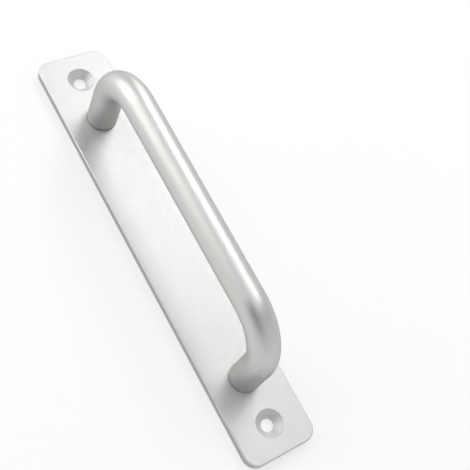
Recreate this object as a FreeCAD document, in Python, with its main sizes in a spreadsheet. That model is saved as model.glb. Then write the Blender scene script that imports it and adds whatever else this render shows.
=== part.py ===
import FreeCAD, Part
import math
import os
import Sketcher
from FreeCAD import Vector

# Pull handle for a sliding door: one bent round bar on a flat plate with a foam adhesive pad behind it.
# Lengths are in millimetres. The handle lies on its back: X runs along it, Z points away from the door,
# and the origin is the middle of the pad's adhesive face.

# Driving sizes, each with its meaning
SIZES = (
    ("plate_length", 180.0, "length of the plate"),
    ("plate_width", 30.0, "width of the plate"),
    ("plate_thickness", 3.2, "thickness of the plate"),
    ("plate_corner_radius", 5.5, "radius of the plate's four corners"),
    ("plate_front_round", 0.6, "rounding of the plate's front edge"),
    ("plate_back_break", 0.2, "chamfer of the plate's back edge"),
    ("mount_hole_diameter", 5.0, "hole for a wood screw near each end of the plate"),
    ("mount_sink_diameter", 11.0, "countersink of that hole at the plate's front"),
    ("mount_end_distance", 12.0, "middle of that hole to the plate's end"),
    ("bar_diameter", 12.0, "round bar that the grip is bent from"),
    ("foot_spacing", 118.0, "distance between the middles of the grip's feet"),
    ("finger_gap", 28.0, "front of the plate to the underside of the grip"),
    ("bend_radius", 18.0, "bend of the bar, at its centre line"),
    ("foot_break", 0.3, "chamfer round each foot"),
    ("screw_diameter", 4.0, "thread of the two screws that hold the grip from behind"),
    ("screw_length", 12.0, "length of these screws, head included"),
    ("head_diameter", 8.0, "countersunk head of these screws"),
    ("head_land", 0.3, "straight rim of the head"),
    ("head_recess", 0.15, "top of the head below the plate's back face"),
    ("sink_angle", 90.0, "angle of every countersink and screw head, in degrees"),
    ("socket_width", 2.5, "hexagon socket of these screws, across its flats"),
    ("socket_depth", 1.8, "depth of that socket"),
    ("tip_break", 0.6, "chamfer at the screw's tip"),
    ("thread_clearance", 0.05, "screw to the wall of its tapped hole"),
    ("shank_clearance", 0.25, "screw to the wall of its hole in the plate"),
    ("thread_runout", 1.5, "tapped hole beyond the screw's tip"),
    ("drill_point_angle", 118.0, "point of the drill that leaves the bottom of a tapped hole, in degrees"),
    ("pad_thickness", 1.0, "thickness of the foam adhesive pad"),
    ("pad_side_margin", 2.5, "plate's long edge to the pad's edge"),
    ("pad_end_distance", 8.0, "middle of a mounting hole to the pad's end"),
)

# Distances of the holes from the middle of the handle, and the sizes that two pieces share
MOUNT_X = "sizes.plate_length / 2 - sizes.mount_end_distance"
FOOT_X = "sizes.foot_spacing / 2"
SINK_SLOPE = "tan(sizes.sink_angle * 1deg / 2)"
SHANK_HOLE = "sizes.screw_diameter + 2 * sizes.shank_clearance"
TAPPED_HOLE = "sizes.screw_diameter + 2 * sizes.thread_clearance"
SCREW_REACH = "sizes.head_recess + sizes.screw_length - sizes.plate_thickness"
RAIL_HEIGHT = "sizes.finger_gap + sizes.bar_diameter / 2"

# How a sketch numbers the points of its lines and circles, and its own axes
START, END, MIDDLE = range(1, 4)
X_AXIS, Y_AXIS = range(-1, -3, -1)
SKETCH_ORIGIN = (X_AXIS, START)

UP = Vector(0, 0, 1)
CLOSE = 1e-3

doc = FreeCAD.newDocument("door_handle")


def make_sheet():
    """Write the driving sizes into the document's sheet, one named cell each."""
    table = doc.addObject("Spreadsheet::Sheet", "sizes")
    for row, (name, value, meaning) in enumerate(SIZES, start=1):
        table.set(f"A{row}", name)
        table.set(f"B{row}", str(value))
        table.set(f"C{row}", meaning)
        table.setAlias(f"B{row}", name)
    doc.recompute()
    return table


sheet = make_sheet()


def worked_out(expression):
    """Work out an expression of the sheet's sizes, for the place where a sketch is first drawn."""
    return float(sheet.evalExpression(expression.replace("sizes.", "")))


def make_body(label):
    body = doc.addObject("PartDesign::Body", label)
    body.Label = label
    return body


def make_sketch(body, name, role, height=None):
    """Add a sketch on one of the body's own planes, moved along its normal where a height is given."""
    sketch = body.newObject("Sketcher::SketchObject", name)
    plane = next(item for item in body.Origin.OriginFeatures if item.Role == role)
    sketch.AttachmentSupport = [(plane, "")]
    sketch.MapMode = "FlatFace"
    if height:
        sketch.setExpression("AttachmentOffset.Base.z", height)
    return sketch


def drive(sketch, kind, where, expression):
    """Add one dimension to a sketch and tie it to the sheet."""
    index = sketch.addConstraint(Sketcher.Constraint(kind, *where, worked_out(expression)))
    sketch.setExpression(f"Constraints[{index}]", expression)


def draw_circle(sketch, side, distance, diameter):
    """Draw a circle on the sketch's X axis, to the right of its origin for a side of 1 and left for -1."""
    centre = Vector(side * worked_out(distance), 0, 0)
    circle = sketch.addGeometry(Part.Circle(centre, UP, worked_out(diameter) / 2))
    sketch.addConstraint(Sketcher.Constraint("PointOnObject", circle, MIDDLE, X_AXIS))
    drive(sketch, "Diameter", (circle,), diameter)
    left_to_right = SKETCH_ORIGIN + (circle, MIDDLE) if side > 0 else (circle, MIDDLE) + SKETCH_ORIGIN
    drive(sketch, "DistanceX", left_to_right, distance)


def draw_pair(sketch, distance, diameter):
    """Draw the two circles that lie at the same distance from the middle of the handle."""
    for side in (-1, 1):
        draw_circle(sketch, side, distance, diameter)


def draw_rectangle(sketch, length, width):
    """Draw a rectangle round the sketch's origin."""
    x = worked_out(length) / 2
    y = worked_out(width) / 2
    corners = (Vector(-x, -y), Vector(x, -y), Vector(x, y), Vector(-x, y))
    for side in range(4):
        sketch.addGeometry(Part.LineSegment(corners[side], corners[(side + 1) % 4]))
    for side in range(4):
        sketch.addConstraint(Sketcher.Constraint("Coincident", side, END, (side + 1) % 4, START))
        sketch.addConstraint(Sketcher.Constraint("Vertical" if side % 2 else "Horizontal", side))
    sketch.addConstraint(Sketcher.Constraint("Symmetric", 0, START, 2, START, *SKETCH_ORIGIN))
    drive(sketch, "DistanceX", (0, START, 0, END), length)
    drive(sketch, "DistanceY", (1, START, 1, END), width)


def level_edges(feature, height):
    """Name the edges of a feature that lie flat at one height."""
    boxes = [edge.BoundBox for edge in feature.Shape.Edges]
    level = [max(abs(box.ZMin - height), abs(box.ZMax - height)) < CLOSE for box in boxes]
    return [f"Edge{number}" for number, found in enumerate(level, start=1) if found]


def upright_edges(feature):
    """Name the edges of a feature that stand straight along Z."""
    boxes = [edge.BoundBox for edge in feature.Shape.Edges]
    upright = [max(box.XLength, box.YLength) < CLOSE for box in boxes]
    return [f"Edge{number}" for number, found in enumerate(upright, start=1) if found]


def finish_edges(body, kind, name, base, edges, expression):
    """Round or chamfer some edges of the feature before."""
    feature = body.newObject(f"PartDesign::{kind}", name)
    feature.Base = (base, edges)
    feature.setExpression("Radius" if kind == "Fillet" else "Size", expression)
    doc.recompute()
    return feature


def make_slab(body, name, length, width, thickness):
    """Pad a rectangle that is drawn round the body's origin."""
    outline = make_sketch(body, f"{name}_outline", "XY_Plane")
    draw_rectangle(outline, length, width)
    slab = body.newObject("PartDesign::Pad", f"{name}_slab")
    slab.Profile = outline
    slab.setExpression("Length", thickness)
    doc.recompute()
    return slab


def drill_holes(body, name, places, diameter, upward=False, depth=None, sink_diameter=None):
    """Drill at every circle of a sketch: through, or to a depth, and countersunk where a diameter is given."""
    doc.recompute()
    before = body.Tip.Shape.Volume
    holes = body.newObject("PartDesign::Hole", name)
    holes.Profile = places
    doc.recompute()
    holes.ThreadType = "None"
    holes.Reversed = upward
    holes.setExpression("Diameter", diameter)
    if depth:
        holes.DepthType = "Dimension"
        holes.setExpression("Depth", depth)
        holes.DrillPoint = "Angled"
        holes.setExpression("DrillPointAngle", "sizes.drill_point_angle")
    else:
        holes.DepthType = "ThroughAll"
    if sink_diameter:
        holes.HoleCutType = "Countersink"
        holes.HoleCutCustomValues = True
        holes.setExpression("HoleCutDiameter", sink_diameter)
        holes.setExpression("HoleCutCountersinkAngle", "sizes.sink_angle")
    doc.recompute()
    if not holes.Shape.Volume < before:
        raise ValueError(f"{name} cuts nothing")
    return holes


def make_plate():
    """The plate: corners and front edge rounded, two holes sunk from the front and two sunk from behind."""
    body = make_body("back_plate")
    slab = make_slab(body, "plate", "sizes.plate_length", "sizes.plate_width", "sizes.plate_thickness")
    blank = finish_edges(body, "Fillet", "plate_corners", slab, upright_edges(slab), "sizes.plate_corner_radius")
    front = level_edges(blank, worked_out("sizes.plate_thickness"))
    rounded = finish_edges(body, "Fillet", "plate_front", blank, front, "sizes.plate_front_round")
    finish_edges(body, "Chamfer", "plate_back", rounded, level_edges(rounded, 0), "sizes.plate_back_break")

    mount_places = make_sketch(body, "mount_places", "XY_Plane", "sizes.plate_thickness")
    draw_pair(mount_places, MOUNT_X, "sizes.mount_hole_diameter")
    drill_holes(body, "mount_holes", mount_places, "sizes.mount_hole_diameter",
                sink_diameter="sizes.mount_sink_diameter")

    screw_places = make_sketch(body, "screw_places", "XY_Plane")
    draw_pair(screw_places, FOOT_X, SHANK_HOLE)
    seat_diameter = f"sizes.head_diameter + 2 * (sizes.head_recess + sizes.head_land) * {SINK_SLOPE}"
    drill_holes(body, "screw_holes", screw_places, SHANK_HOLE, upward=True, sink_diameter=seat_diameter)
    body.setExpression("Placement.Base.z", "sizes.pad_thickness")
    return body


def draw_bend_line(sketch):
    """Draw the bar's centre line: leg, bend, rail, bend, leg, each running smoothly into the next."""
    foot_x = worked_out(FOOT_X)
    rail_height = worked_out(RAIL_HEIGHT)
    radius = worked_out("sizes.bend_radius")
    bend_x = foot_x - radius
    bend_y = rail_height - radius
    quarter = math.pi / 2
    left_bend = Part.Circle(Vector(-bend_x, bend_y), UP, radius)
    right_bend = Part.Circle(Vector(bend_x, bend_y), UP, radius)
    left_leg = sketch.addGeometry(Part.LineSegment(Vector(-foot_x, 0), Vector(-foot_x, bend_y)))
    left_arc = sketch.addGeometry(Part.ArcOfCircle(left_bend, quarter, 2 * quarter))
    rail = sketch.addGeometry(Part.LineSegment(Vector(-bend_x, rail_height), Vector(bend_x, rail_height)))
    right_arc = sketch.addGeometry(Part.ArcOfCircle(right_bend, 0, quarter))
    right_leg = sketch.addGeometry(Part.LineSegment(Vector(foot_x, bend_y), Vector(foot_x, 0)))

    sketch.addConstraint(Sketcher.Constraint("Tangent", left_leg, END, left_arc, END))
    sketch.addConstraint(Sketcher.Constraint("Tangent", left_arc, START, rail, START))
    sketch.addConstraint(Sketcher.Constraint("Tangent", rail, END, right_arc, END))
    sketch.addConstraint(Sketcher.Constraint("Tangent", right_arc, START, right_leg, START))
    sketch.addConstraint(Sketcher.Constraint("Vertical", left_leg))
    sketch.addConstraint(Sketcher.Constraint("Horizontal", rail))
    sketch.addConstraint(Sketcher.Constraint("Symmetric", left_leg, START, right_leg, END, *SKETCH_ORIGIN))
    sketch.addConstraint(Sketcher.Constraint("Equal", left_arc, right_arc))
    drive(sketch, "DistanceX", (left_leg, START, right_leg, END), "sizes.foot_spacing")
    drive(sketch, "DistanceY", (left_leg, START, rail, START), RAIL_HEIGHT)
    drive(sketch, "Radius", (left_arc,), "sizes.bend_radius")


def make_grip():
    """The grip: one round bar bent twice, with a tapped hole up the middle of each foot."""
    body = make_body("grip")
    bend_line = make_sketch(body, "bend_line", "XZ_Plane")
    draw_bend_line(bend_line)
    section = make_sketch(body, "bar_section", "XY_Plane")
    draw_circle(section, -1, FOOT_X, "sizes.bar_diameter")
    doc.recompute()
    bar = body.newObject("PartDesign::AdditivePipe", "bent_bar")
    bar.Profile = section
    bar.Spine = (bend_line, [f"Edge{number + 1}" for number in range(len(bend_line.Shape.Edges))])
    doc.recompute()
    finish_edges(body, "Chamfer", "foot_edges", bar, level_edges(bar, 0), "sizes.foot_break")

    thread_places = make_sketch(body, "thread_places", "XY_Plane")
    draw_pair(thread_places, FOOT_X, TAPPED_HOLE)
    drill_holes(body, "tapped_holes", thread_places, TAPPED_HOLE, upward=True,
                depth=f"{SCREW_REACH} + sizes.thread_runout")
    body.setExpression("Placement.Base.z", "sizes.pad_thickness + sizes.plate_thickness")
    return body


def draw_screw_profile(sketch):
    """Draw half of the screw's section: X is the radius, Y the distance from the top of the head."""
    head = "sizes.head_diameter / 2"
    shank = "sizes.screw_diameter / 2"
    cone_end = f"sizes.head_land + (sizes.head_diameter - sizes.screw_diameter) / 2 / {SINK_SLOPE}"
    corners = (
        (None, None),
        (head, None),
        (head, "sizes.head_land"),
        (shank, cone_end),
        (shank, "sizes.screw_length - sizes.tip_break"),
        (f"{shank} - sizes.tip_break", "sizes.screw_length"),
        (None, "sizes.screw_length"),
    )
    points = [Vector(worked_out(x) if x else 0, worked_out(y) if y else 0) for x, y in corners]
    count = len(points)
    for side in range(count):
        sketch.addGeometry(Part.LineSegment(points[side], points[(side + 1) % count]))
    for side in range(count):
        sketch.addConstraint(Sketcher.Constraint("Coincident", side, END, (side + 1) % count, START))
    for side, (x, y) in enumerate(corners):
        if x:
            drive(sketch, "DistanceX", SKETCH_ORIGIN + (side, START), x)
        else:
            sketch.addConstraint(Sketcher.Constraint("PointOnObject", side, START, Y_AXIS))
        if y:
            drive(sketch, "DistanceY", SKETCH_ORIGIN + (side, START), y)
        else:
            sketch.addConstraint(Sketcher.Constraint("PointOnObject", side, START, X_AXIS))


def make_screws():
    """The two countersunk screws that hold the grip from behind, as one group of two alike."""
    body = make_body("grip_screw")
    profile = make_sketch(body, "screw_profile", "XZ_Plane")
    draw_screw_profile(profile)
    doc.recompute()
    turned = body.newObject("PartDesign::Revolution", "turned_screw")
    turned.Profile = profile
    turned.ReferenceAxis = (profile, ["V_Axis"])
    doc.recompute()
    socket = body.newObject("PartDesign::SubtractivePrism", "socket")
    socket.Polygon = 6
    socket.setExpression("Circumradius", "sizes.socket_width / 2 / cos(30deg)")
    socket.setExpression("Height", "sizes.socket_depth")
    doc.recompute()
    if not socket.Shape.Volume < turned.Shape.Volume:
        raise ValueError("the socket cuts nothing")
    body.setExpression("Placement.Base.x", FOOT_X)
    body.setExpression("Placement.Base.z", "sizes.pad_thickness + sizes.head_recess")

    other = doc.addObject("Part::Mirroring", "other_grip_screw")
    other.Source = body
    other.Normal = Vector(1, 0, 0)
    pair = doc.addObject("Part::Compound", "grip_screws")
    pair.Label = "grip_screws"
    pair.Links = [body, other]
    return pair


def make_pad():
    """The foam adhesive pad: a length cut from a roll, which ends short of the mounting holes."""
    body = make_body("adhesive_pad")
    make_slab(body, "pad", f"2 * ({MOUNT_X} - sizes.pad_end_distance)",
              "sizes.plate_width - 2 * sizes.pad_side_margin", "sizes.pad_thickness")
    return body


def write_parts(parts, solids):
    """Check the whole document, then write each sub-part to a file named after it."""
    doc.recompute()
    for item in doc.Objects:
        if "Invalid" in item.State or "Error" in item.State:
            raise ValueError(f"{item.Label} failed: {item.State}")
    for part in parts:
        if part.Shape.isNull() or not part.Shape.isValid() or len(part.Shape.Solids) != solids[part.Label]:
            raise ValueError(f"{part.Label} has a faulty shape")
    os.makedirs("parts", exist_ok=True)
    for part in parts:
        part.Shape.exportStep(os.path.join("parts", f"{part.Label}.step"))
        box = part.Shape.optimalBoundingBox()
        print(f"{part.Label}: {part.Shape.Volume:.1f} mm3, {box.XLength:.2f} x {box.YLength:.2f} x {box.ZLength:.2f}")


write_parts(
    [make_plate(), make_grip(), make_screws(), make_pad()],
    {"back_plate": 1, "grip": 1, "grip_screws": 2, "adhesive_pad": 1},
)
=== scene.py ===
import math
import bmesh
import bpy
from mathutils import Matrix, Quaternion, Vector, noise


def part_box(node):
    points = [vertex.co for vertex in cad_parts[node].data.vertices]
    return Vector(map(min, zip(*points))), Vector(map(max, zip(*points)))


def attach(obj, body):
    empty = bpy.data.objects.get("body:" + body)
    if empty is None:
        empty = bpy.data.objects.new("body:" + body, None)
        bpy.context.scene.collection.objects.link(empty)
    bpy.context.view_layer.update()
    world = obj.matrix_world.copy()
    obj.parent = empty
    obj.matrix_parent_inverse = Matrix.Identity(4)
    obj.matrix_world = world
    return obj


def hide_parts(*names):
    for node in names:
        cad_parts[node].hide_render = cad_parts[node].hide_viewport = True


# Pull handle for a sliding door: a bent round aluminium bar on an aluminium plate, lying on its back.
# X runs along the handle, Z points away from the door, and lengths are in metres.

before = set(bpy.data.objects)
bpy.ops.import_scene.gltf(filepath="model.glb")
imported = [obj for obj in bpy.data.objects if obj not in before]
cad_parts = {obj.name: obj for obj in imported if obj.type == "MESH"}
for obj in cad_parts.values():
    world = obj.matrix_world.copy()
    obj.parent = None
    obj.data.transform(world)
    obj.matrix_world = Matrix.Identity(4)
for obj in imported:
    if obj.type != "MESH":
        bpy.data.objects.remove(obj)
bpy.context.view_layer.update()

MM = 0.001
BODY = "root"

# Boxes of the CAD pieces, from which the sizes below are worked out
PLATE_LOW, PLATE_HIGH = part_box("back_plate")
GRIP_LOW, GRIP_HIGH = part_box("grip")
SCREWS_LOW, SCREWS_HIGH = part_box("grip_screws")
PAD_LOW, PAD_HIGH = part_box("adhesive_pad")

# Countersunk mounting holes of the plate. The cutter's rings end just short of the plate's back
MOUNT_INSET = 12 * MM
MOUNT_X = PLATE_HIGH.x - MOUNT_INSET
SINK_RADIUS = 5.5 * MM
BACK_SKIN = 0.1 * MM

# Rings of the cutter in the countersinks. Real ones are about 0.1 mm apart, too fine to show; these are
# coarser
RING_SPACING = 0.6 * MM
RING_DEPTH = 0.02 * MM

# Chamfer round the grip's feet. The bar is painted dark up to this height above the plate, as painted
# contact shade
FOOT_CHAMFER = 0.3 * MM

# Dimples of the blasted surfaces. Real ones are about 0.08 mm wide, too fine to show; these are coarser
DIMPLE = 0.18 * MM
DIMPLE_DEPTH = 0.04 * MM

# Patches over which a blasted surface is a little duller or shinier, and by how much its roughness changes
PATCH = 2 * MM
PATCH_CHANGE = 0.06

# Countersunk M4 screws behind the grip's feet: a head with a short rim and a broken edge, a chamfered tip
BAR_RADIUS = (GRIP_HIGH.y - GRIP_LOW.y) / 2
FOOT_X = GRIP_HIGH.x - BAR_RADIUS
SCREW_SIDES = 48
SCREW_LENGTH = SCREWS_HIGH.z - SCREWS_LOW.z
HEAD_RADIUS = (SCREWS_HIGH.y - SCREWS_LOW.y) / 2
HEAD_RIM = 0.3 * MM
HEAD_EDGE_WIDTH = 0.12 * MM
HEAD_EDGE_DEPTH = 0.1 * MM
TIP_CHAMFER = 0.6 * MM

# Clouds in the screws' zinc
ZINC_CLOUD = 1.5 * MM

# Hexagon socket of a screw: half its width across flats, its depth, the cone at its bottom and its chamfer
SOCKET_FLAT = 1.25 * MM
SOCKET_DEPTH = 1.8 * MM
SOCKET_CONE = 0.3 * MM
SOCKET_EDGE_SPREAD = 1.3
SOCKET_EDGE_DEPTH = 0.14 * MM

# Rolled thread. Its flanks are 60 degrees apart: each rises by 2.8 thread depths in one pitch, and without
# the flat crest two of them would meet 1.25 depths above the root
THREAD_RADIUS = 2.0 * MM
THREAD_PITCH = 0.7 * MM
THREAD_DEPTH = 0.43 * MM
THREAD_STEPS = 10
FLANK_RISE = 2.8
FLANKS_MEET = 1.25

# Foam pad: its grid of faces, the waver of its knife-cut edges, their soft rounding and the foam's cells
PAD_CELLS = (140, 24)
CUT_WAVER = 0.12 * MM
CUT_WAVE = 4 * MM
SOFT_EDGE = 0.1 * MM
FOAM_CELL = 0.25 * MM
FOAM_CELL_DEPTH = 0.05 * MM

# The floor lies just under the pad. It glows to the camera by FLOOR_GLOW up to GLOW_NEAR from the handle,
# and by FAR_GLOW from GLOW_FAR on, where the softboxes reach it less
FLOOR_SIZE = 8.0
FLOOR_GAP = 0.02 * MM
FLOOR_GLOW = 0.66
FAR_GLOW = 0.825
GLOW_NEAR = 0.5
GLOW_FAR = 1.8

# Light of the studio's walls, which fades out between two heights, as sines of the angle above the horizon
WALL_LIGHT = 0.88
WALL_TOP = 0.25
CEILING = 0.60

# Distance of every softbox from the handle
LAMP_DISTANCE = 1.2

# Camera, in millimetres and degrees
SENSOR = 36.0
CAMERA_PLACE = Vector((94.43, -133.71, 298.45)) * MM
CAMERA_AIM = Vector((7.30, 26.08, 4.20)) * MM
CAMERA_ROLL = 35.336
CAMERA_LENS = 67.02
CAMERA_CLIP = 10 * MM


def linear(code):
    """Turn an sRGB hex colour into linear red, green, blue and alpha."""
    channels = [int(code[i:i + 2], 16) / 255 for i in (1, 3, 5)]
    return [c / 12.92 if c <= 0.04045 else ((c + 0.055) / 1.055) ** 2.4 for c in channels] + [1.0]


def add_node(tree, kind, inputs=None, links=None, **settings):
    """Add one node to a node tree, with its settings, its inputs' values and the outputs linked into it."""
    node = tree.nodes.new(kind)
    for name, value in settings.items():
        setattr(node, name, value)
    for name, value in (inputs or {}).items():
        node.inputs[name].default_value = value
    for name, output in (links or {}).items():
        tree.links.new(output, node.inputs[name])
    return node


def new_material(name):
    """Start a material with no nodes in it."""
    material = bpy.data.materials.new(name)
    material.use_nodes = True
    material.node_tree.nodes.clear()
    return material, material.node_tree


def blasted_relief(tree, place, below=None):
    """Bump of a surface blasted with fine glass beads: shallow dimples beside each other."""
    dimples = add_node(tree, "ShaderNodeTexNoise",
                       {"Scale": 1 / DIMPLE, "Detail": 1.0, "Roughness": 0.5},
                       {"Vector": place})
    links = {"Height": dimples.outputs["Fac"]}
    if below:
        links["Normal"] = below
    bump = add_node(tree, "ShaderNodeBump", {"Strength": 0.75, "Distance": DIMPLE_DEPTH}, links)
    return bump.outputs["Normal"]


def roughness_change(tree, place):
    """Small change of the roughness, up and down, from patch to patch."""
    patches = add_node(tree, "ShaderNodeTexNoise", {"Scale": 1 / PATCH, "Detail": 2.0}, {"Vector": place})
    change = add_node(tree, "ShaderNodeMapRange",
                      {"To Min": -PATCH_CHANGE, "To Max": PATCH_CHANGE},
                      {"Value": patches.outputs["Fac"]})
    return change.outputs["Result"]


def anodised_bar():
    """Aluminium bar, bent, blasted with fine glass beads and anodised silver.

    It gives wide soft bright bands along the bar, with no sharp reflection in it. The oxide darkens it
    towards its outlines. Round each foot, the turned chamfer is painted dark grey as painted contact shade,
    which shows as a fine dark line on the plate.
    """
    material, tree = new_material("blasted_anodised_aluminium_bar")
    place = add_node(tree, "ShaderNodeTexCoord").outputs["Object"]
    height = add_node(tree, "ShaderNodeSeparateXYZ", links={"Vector": place}).outputs["Z"]
    above = add_node(tree, "ShaderNodeMapRange",
                     {"From Min": PLATE_HIGH.z + FOOT_CHAMFER, "From Max": PLATE_HIGH.z + 2 * FOOT_CHAMFER},
                     {"Value": height})
    # Painted contact shade: dark grey on the foot's chamfer, fading to the bar's own colour over the next
    # chamfer height
    colour = add_node(tree, "ShaderNodeMix",
                      {"A": linear("#777876"), "B": linear("#CECECC")},
                      {0: above.outputs["Result"]},
                      data_type="RGBA")
    roughness = add_node(tree, "ShaderNodeMath", {0: 0.46}, {1: roughness_change(tree, place)})
    shader = add_node(tree, "ShaderNodeBsdfPrincipled",
                      {"Metallic": 1.0, "Specular Tint": linear("#CECECE")},
                      {"Normal": blasted_relief(tree, place),
                       "Base Color": colour.outputs["Result"],
                       "Roughness": roughness.outputs[0]})
    add_node(tree, "ShaderNodeOutputMaterial", links={"Surface": shader.outputs["BSDF"]})
    return material


def countersinks(tree, place):
    """Distance of each point from the axis of the nearer mounting hole, and 1 inside its countersink."""
    parts = add_node(tree, "ShaderNodeSeparateXYZ", links={"Vector": place}).outputs
    along = add_node(tree, "ShaderNodeMath", links={0: parts["X"]}, operation="ABSOLUTE").outputs[0]
    along = add_node(tree, "ShaderNodeMath", {1: MOUNT_X}, {0: along}, operation="SUBTRACT").outputs[0]
    flat = add_node(tree, "ShaderNodeCombineXYZ", links={"X": along, "Y": parts["Y"]}).outputs[0]
    radius = add_node(tree, "ShaderNodeVectorMath", links={0: flat}, operation="LENGTH").outputs["Value"]
    near = add_node(tree, "ShaderNodeMath", {1: SINK_RADIUS}, {0: radius}, operation="LESS_THAN")
    above = add_node(tree, "ShaderNodeMath",
                     {1: PLATE_LOW.z + BACK_SKIN},
                     {0: parts["Z"]},
                     operation="GREATER_THAN")
    inside = add_node(tree, "ShaderNodeMath",
                      links={0: near.outputs[0], 1: above.outputs[0]},
                      operation="MULTIPLY")
    return radius, inside.outputs[0]


def cutter_rings(tree, radius, inside):
    """Waves from 0 to 1 round the mounting holes, in the countersinks only."""
    wave = add_node(tree, "ShaderNodeMath", {1: math.tau / RING_SPACING}, {0: radius}, operation="MULTIPLY")
    wave = add_node(tree, "ShaderNodeMath", links={0: wave.outputs[0]}, operation="SINE")
    wave = add_node(tree, "ShaderNodeMath",
                    {1: 0.5, 2: 0.5},
                    {0: wave.outputs[0]},
                    operation="MULTIPLY_ADD")
    rings = add_node(tree, "ShaderNodeMath", links={0: wave.outputs[0], 1: inside}, operation="MULTIPLY")
    return rings.outputs[0]


def surface_slope(tree, upright, level):
    """0 where the surface is upright, 1 where it is level, and smoothly between."""
    normal = add_node(tree, "ShaderNodeNewGeometry").outputs["Normal"]
    up = add_node(tree, "ShaderNodeSeparateXYZ", links={"Vector": normal}).outputs["Z"]
    slope = add_node(tree, "ShaderNodeMath", links={0: up}, operation="ABSOLUTE").outputs[0]
    return add_node(tree, "ShaderNodeMapRange",
                    {"From Min": upright, "From Max": level},
                    {"Value": slope},
                    interpolation_type="SMOOTHSTEP").outputs["Result"]


def anodised_plate():
    """Aluminium plate, cut from flat bar, countersunk, blasted with fine glass beads and anodised silver.

    Its front is an even matte silver-white. Its edges, which the beads hardly reach, shine more, and are
    painted a greyer colour as painted shade. The countersinks keep rings from the cutter in their bump,
    and the rings' crests are painted lighter as painted highlights.
    """
    material, tree = new_material("blasted_anodised_aluminium_plate")
    place = add_node(tree, "ShaderNodeTexCoord").outputs["Object"]
    radius, inside = countersinks(tree, place)
    rings = cutter_rings(tree, radius, inside)
    turned = add_node(tree, "ShaderNodeBump", {"Strength": 1.0, "Distance": RING_DEPTH}, {"Height": rings})
    front = surface_slope(tree, 0.1, 0.65)
    # Painted shade: the plate's upright faces are painted a darker grey than its front
    colour_with_edge_shade = add_node(tree, "ShaderNodeMix",
                       {"A": linear("#A3A3A2"), "B": linear("#D3D3D2")},
                       {0: front},
                       data_type="RGBA")
    # Painted highlights: the crests of the cutter's rings in the countersinks are painted lighter
    painted_ring_highlights = add_node(tree, "ShaderNodeMath", {1: 0.4}, {0: rings}, operation="MULTIPLY")
    colour = add_node(tree, "ShaderNodeMix",
                      {"B": linear("#F3F3F2")},
                      {0: painted_ring_highlights.outputs[0], "A": colour_with_edge_shade.outputs["Result"]},
                      data_type="RGBA")
    roughness = add_node(tree, "ShaderNodeMapRange", {"To Min": 0.33, "To Max": 0.55}, {"Value": front})
    roughness = add_node(tree, "ShaderNodeMath",
                         {1: 0.1},
                         {0: inside, 2: roughness.outputs["Result"]},
                         operation="MULTIPLY_ADD")
    roughness = add_node(tree, "ShaderNodeMath",
                         links={0: roughness.outputs[0], 1: roughness_change(tree, place)})
    shader = add_node(tree, "ShaderNodeBsdfPrincipled",
                      {"Metallic": 1.0},
                      {"Normal": blasted_relief(tree, place, turned.outputs["Normal"]),
                       "Base Color": colour.outputs["Result"],
                       "Roughness": roughness.outputs[0]})
    add_node(tree, "ShaderNodeOutputMaterial", links={"Surface": shader.outputs["BSDF"]})
    return material


def zinc_plated_steel():
    """Steel screw, cold headed with a rolled thread and bright zinc plated.

    It is a bluish silver with sharp bright reflections, a little cloudy.
    """
    material, tree = new_material("zinc_plated_steel")
    place = add_node(tree, "ShaderNodeTexCoord").outputs["Object"]
    clouds = add_node(tree, "ShaderNodeTexNoise",
                      {"Scale": 1 / ZINC_CLOUD, "Detail": 2.0},
                      {"Vector": place})
    roughness = add_node(tree, "ShaderNodeMapRange",
                         {"To Min": 0.2, "To Max": 0.38},
                         {"Value": clouds.outputs["Fac"]})
    shader = add_node(tree, "ShaderNodeBsdfPrincipled",
                      {"Base Color": linear("#C9CDD1"), "Metallic": 1.0},
                      {"Roughness": roughness.outputs["Result"]})
    add_node(tree, "ShaderNodeOutputMaterial", links={"Surface": shader.outputs["BSDF"]})
    return material


def foam_tape():
    """White closed-cell polyethylene foam with acrylic adhesive on both faces.

    Its cut edges are dull and full of fine cells, and the adhesive faces shine over a faint orange-peel
    relief.
    """
    material, tree = new_material("adhesive_foam_tape")
    place = add_node(tree, "ShaderNodeTexCoord").outputs["Object"]
    face = surface_slope(tree, 0.7, 0.95)
    cells = add_node(tree, "ShaderNodeTexVoronoi", {"Scale": 1 / FOAM_CELL}, {"Vector": place})
    depth = add_node(tree, "ShaderNodeMapRange", {"To Min": 0.9, "To Max": 0.15}, {"Value": face})
    relief = add_node(tree, "ShaderNodeBump",
                      {"Distance": FOAM_CELL_DEPTH},
                      {"Strength": depth.outputs["Result"], "Height": cells.outputs["Distance"]})
    roughness = add_node(tree, "ShaderNodeMapRange", {"To Min": 0.8, "To Max": 0.22}, {"Value": face})
    colour = add_node(tree, "ShaderNodeMix",
                      {"A": linear("#F0EFEA"), "B": linear("#E9E7DD")},
                      {0: face},
                      data_type="RGBA")
    shader = add_node(tree, "ShaderNodeBsdfPrincipled",
                      {"IOR": 1.47},
                      {"Normal": relief.outputs["Normal"],
                       "Roughness": roughness.outputs["Result"],
                       "Base Color": colour.outputs["Result"]})
    add_node(tree, "ShaderNodeOutputMaterial", links={"Surface": shader.outputs["BSDF"]})
    return material


def dress(node, material):
    """Give a CAD node its material."""
    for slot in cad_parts[node].material_slots:
        slot.material = material


def add_piece(name, mesh, material, node):
    """Put a new piece in the scene in place of a CAD node."""
    piece = bpy.data.objects.new(name, mesh)
    bpy.context.scene.collection.objects.link(piece)
    mesh.materials.append(material)
    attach(piece, BODY)
    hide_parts(node)
    return piece


def screw_ring(radius, height):
    """One ring of points round the screw's axis, from a radius or from a function of the angle."""
    ring = []
    for i in range(SCREW_SIDES):
        angle = math.tau * i / SCREW_SIDES
        reach = radius(angle) if callable(radius) else radius
        ring.append(Vector((reach * math.cos(angle), reach * math.sin(angle), height)))
    return ring


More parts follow.
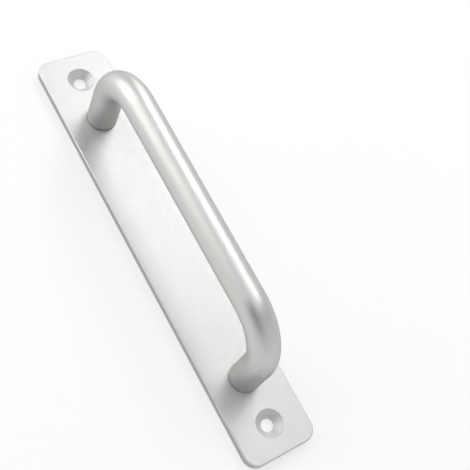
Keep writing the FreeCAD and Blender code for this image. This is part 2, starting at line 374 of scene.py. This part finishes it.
def hexagon(angle):
    """Reach of the hexagon socket at an angle."""
    return SOCKET_FLAT / math.cos((angle + math.pi / 6) % (math.pi / 3) - math.pi / 6)


def thread_reach(height, fade):
    """Reach of the rolled thread at one height, as a function of the angle."""
    def reach(angle):
        turn = (height / THREAD_PITCH - angle / math.tau) % 1.0
        # 0 on the flat root, 1 on the narrow crest
        rise = min(1.0, max(0.0, FLANKS_MEET - abs(turn - 0.5) * FLANK_RISE))
        return THREAD_RADIUS - THREAD_DEPTH * fade * (1 - rise)
    return reach


def screw_rings():
    """Rings of one countersunk screw from its socket, over the head and down the thread to the tip."""
    cone_end = HEAD_RIM + HEAD_RADIUS - THREAD_RADIUS
    tip_start = SCREW_LENGTH - TIP_CHAMFER
    rings = [
        screw_ring(hexagon, SOCKET_DEPTH - SOCKET_CONE),
        screw_ring(hexagon, SOCKET_EDGE_DEPTH),
        screw_ring(SOCKET_FLAT * SOCKET_EDGE_SPREAD, 0.0),
        screw_ring(HEAD_RADIUS - HEAD_EDGE_WIDTH, 0.0),
        screw_ring(HEAD_RADIUS, HEAD_EDGE_DEPTH),
        screw_ring(HEAD_RADIUS, HEAD_RIM),
        screw_ring(THREAD_RADIUS, cone_end),
    ]
    step = THREAD_PITCH / THREAD_STEPS
    for i in range(1, int((tip_start - cone_end) / step)):
        # The thread runs out under the head over its first turn
        fade = min(1.0, i / THREAD_STEPS)
        height = cone_end + i * step
        rings.append(screw_ring(thread_reach(height, fade), height))
    rings.append(screw_ring(THREAD_RADIUS - THREAD_DEPTH, tip_start))
    rings.append(screw_ring(THREAD_RADIUS - TIP_CHAMFER, SCREW_LENGTH))
    return rings


def make_screw(name, x, material):
    """One M4 countersunk screw with a hexagon socket and a real thread, in place of a plain CAD one."""
    work = bmesh.new()
    rows = [[work.verts.new(point) for point in ring] for ring in screw_rings()]
    for low, high in zip(rows, rows[1:]):
        for i in range(SCREW_SIDES):
            j = (i + 1) % SCREW_SIDES
            work.faces.new((low[i], low[j], high[j], high[i]))
    for row, height in ((rows[0], SOCKET_DEPTH), (rows[-1], SCREW_LENGTH)):
        middle = work.verts.new((0, 0, height))
        for i in range(SCREW_SIDES):
            work.faces.new((row[i], row[(i + 1) % SCREW_SIDES], middle))
    bmesh.ops.recalc_face_normals(work, faces=work.faces)
    bmesh.ops.translate(work, verts=work.verts, vec=(x, 0, SCREWS_LOW.z))
    mesh = bpy.data.meshes.new(name)
    work.to_mesh(mesh)
    work.free()
    mesh.shade_smooth()
    mesh.set_sharp_from_angle(angle=math.radians(38))
    add_piece(name, mesh, material, "grip_screws")


def make_foam_pad(material):
    """A strip of foam cut from a roll with a knife, so its edges waver a little and are softly pressed."""
    length, width = PAD_HIGH.x - PAD_LOW.x, PAD_HIGH.y - PAD_LOW.y
    work = bmesh.new()
    bmesh.ops.create_grid(work, x_segments=PAD_CELLS[0], y_segments=PAD_CELLS[1], size=0.5)
    for vert in work.verts:
        x, y = vert.co.x * length, vert.co.y * width
        waver = CUT_WAVER * (0.5 + 0.5 * noise.noise(Vector((x, y, 0)) / CUT_WAVE))
        # Only the outermost points lie on the cut, half a unit from the middle
        x -= math.copysign(waver, x) * (abs(vert.co.x) > 0.499)
        y -= math.copysign(waver, y) * (abs(vert.co.y) > 0.499)
        vert.co = Vector((x, y, PAD_HIGH.z))
    mesh = bpy.data.meshes.new("foam_pad")
    work.to_mesh(mesh)
    work.free()
    mesh.shade_smooth()
    pad = add_piece("foam_pad", mesh, material, "adhesive_pad")
    body = pad.modifiers.new("thickness", "SOLIDIFY")
    body.thickness = PAD_HIGH.z - PAD_LOW.z
    body.offset = -1.0
    edge = pad.modifiers.new("soft_edge", "BEVEL")
    edge.width = SOFT_EDGE
    edge.segments = 2
    edge.limit_method = "ANGLE"
    edge.angle_limit = math.radians(40)
    edge.harden_normals = True


def add_lamp(name, elevation, azimuth, width, height, power):
    """Add one softbox that points at the handle. Angles are in degrees, azimuth from +X towards +Y."""
    data = bpy.data.lights.new(name, "AREA")
    data.shape = "RECTANGLE"
    data.size = width
    data.size_y = height
    data.energy = power
    lamp = bpy.data.objects.new(name, data)
    bpy.context.scene.collection.objects.link(lamp)
    up, round_z = math.radians(elevation), math.radians(azimuth)
    away = Vector((math.cos(up) * math.cos(round_z), math.cos(up) * math.sin(round_z), math.sin(up)))
    lamp.location = away * LAMP_DISTANCE
    lamp.rotation_mode = "QUATERNION"
    lamp.rotation_quaternion = away.to_track_quat("Z", "Y")


def add_floor():
    """A plain floor that keeps the handle's shadow.

    Its own colour is grey. A glow that only the camera and reflections see brings it up to white.
    """
    bpy.ops.mesh.primitive_plane_add(size=FLOOR_SIZE, location=(0, 0, -FLOOR_GAP))
    floor = bpy.context.object
    floor.name = "floor"
    material, tree = new_material("white_floor")
    lit = add_node(tree, "ShaderNodeBsdfDiffuse", {"Color": linear("#989898")})
    path = add_node(tree, "ShaderNodeLightPath").outputs
    seen = path["Is Camera Ray"]
    for ray in ("Is Glossy Ray", "Is Transmission Ray"):
        either = add_node(tree, "ShaderNodeMath", links={0: seen, 1: path[ray]}, operation="MAXIMUM")
        seen = either.outputs[0]
    place = add_node(tree, "ShaderNodeTexCoord").outputs["Object"]
    distance = add_node(tree, "ShaderNodeVectorMath", links={0: place}, operation="LENGTH").outputs["Value"]
    level = add_node(tree, "ShaderNodeMapRange",
                     {"From Min": GLOW_NEAR, "From Max": GLOW_FAR, "To Min": FLOOR_GLOW, "To Max": FAR_GLOW},
                     {"Value": distance},
                     interpolation_type="SMOOTHSTEP").outputs["Result"]
    strength = add_node(tree, "ShaderNodeMath", links={0: seen, 1: level}, operation="MULTIPLY")
    glow = add_node(tree, "ShaderNodeEmission", links={"Strength": strength.outputs[0]})
    both = add_node(tree, "ShaderNodeAddShader", links={0: lit.outputs["BSDF"], 1: glow.outputs["Emission"]})
    add_node(tree, "ShaderNodeOutputMaterial", links={"Surface": both.outputs["Shader"]})
    floor.data.materials.append(material)


def add_camera():
    """Place the camera at the photograph's viewing angle."""
    data = bpy.data.cameras.new("camera")
    data.sensor_width = SENSOR
    data.lens = CAMERA_LENS
    data.clip_start = CAMERA_CLIP
    camera = bpy.data.objects.new("camera", data)
    bpy.context.scene.collection.objects.link(camera)
    camera.location = CAMERA_PLACE
    camera.rotation_mode = "QUATERNION"
    level = (CAMERA_AIM - CAMERA_PLACE).to_track_quat("-Z", "Y")
    camera.rotation_quaternion = level @ Quaternion((0, 0, 1), math.radians(CAMERA_ROLL))
    bpy.context.scene.camera = camera


def add_world():
    """White studio walls all round, which fade out upwards into a dark ceiling."""
    world = bpy.data.worlds.new("studio")
    world.use_nodes = True
    tree = world.node_tree
    tree.nodes.clear()
    direction = add_node(tree, "ShaderNodeTexCoord").outputs["Generated"]
    height = add_node(tree, "ShaderNodeSeparateXYZ", links={"Vector": direction}).outputs["Z"]
    walls = add_node(tree, "ShaderNodeMapRange",
                     {"From Min": WALL_TOP, "From Max": CEILING, "To Min": WALL_LIGHT, "To Max": 0.0},
                     {"Value": height},
                     interpolation_type="SMOOTHSTEP")
    sky = add_node(tree, "ShaderNodeBackground",
                   {"Color": linear("#FFFFFF")},
                   {"Strength": walls.outputs["Result"]})
    add_node(tree, "ShaderNodeOutputWorld", links={"Surface": sky.outputs["Background"]})
    bpy.context.scene.world = world


add_camera()
add_world()
add_floor()

# Elevation, azimuth, width, height and power of each softbox
add_lamp("key_softbox", 50, 124, 0.45, 0.45, 3.1)
add_lamp("upper_key_softbox", 60, 108, 0.45, 0.45, 1.9)
add_lamp("low_key_softbox", 30, 140, 0.45, 0.45, 1.9)
add_lamp("side_softbox", 34, -142, 1.1, 1.1, 9.4)
add_lamp("end_softbox", 42, -5, 1.2, 0.6, 1.45)
add_lamp("fill_softbox", 42, 45, 1.2, 0.6, 1.25)
add_lamp("top_softbox", 90, 0, 0.8, 0.8, 2.6)

dress("grip", anodised_bar())
dress("back_plate", anodised_plate())
steel = zinc_plated_steel()
make_screw("grip_screw_left", -FOOT_X, steel)
make_screw("grip_screw_right", FOOT_X, steel)
make_foam_pad(foam_tape())

bpy.context.scene.view_settings.view_transform = "Standard"
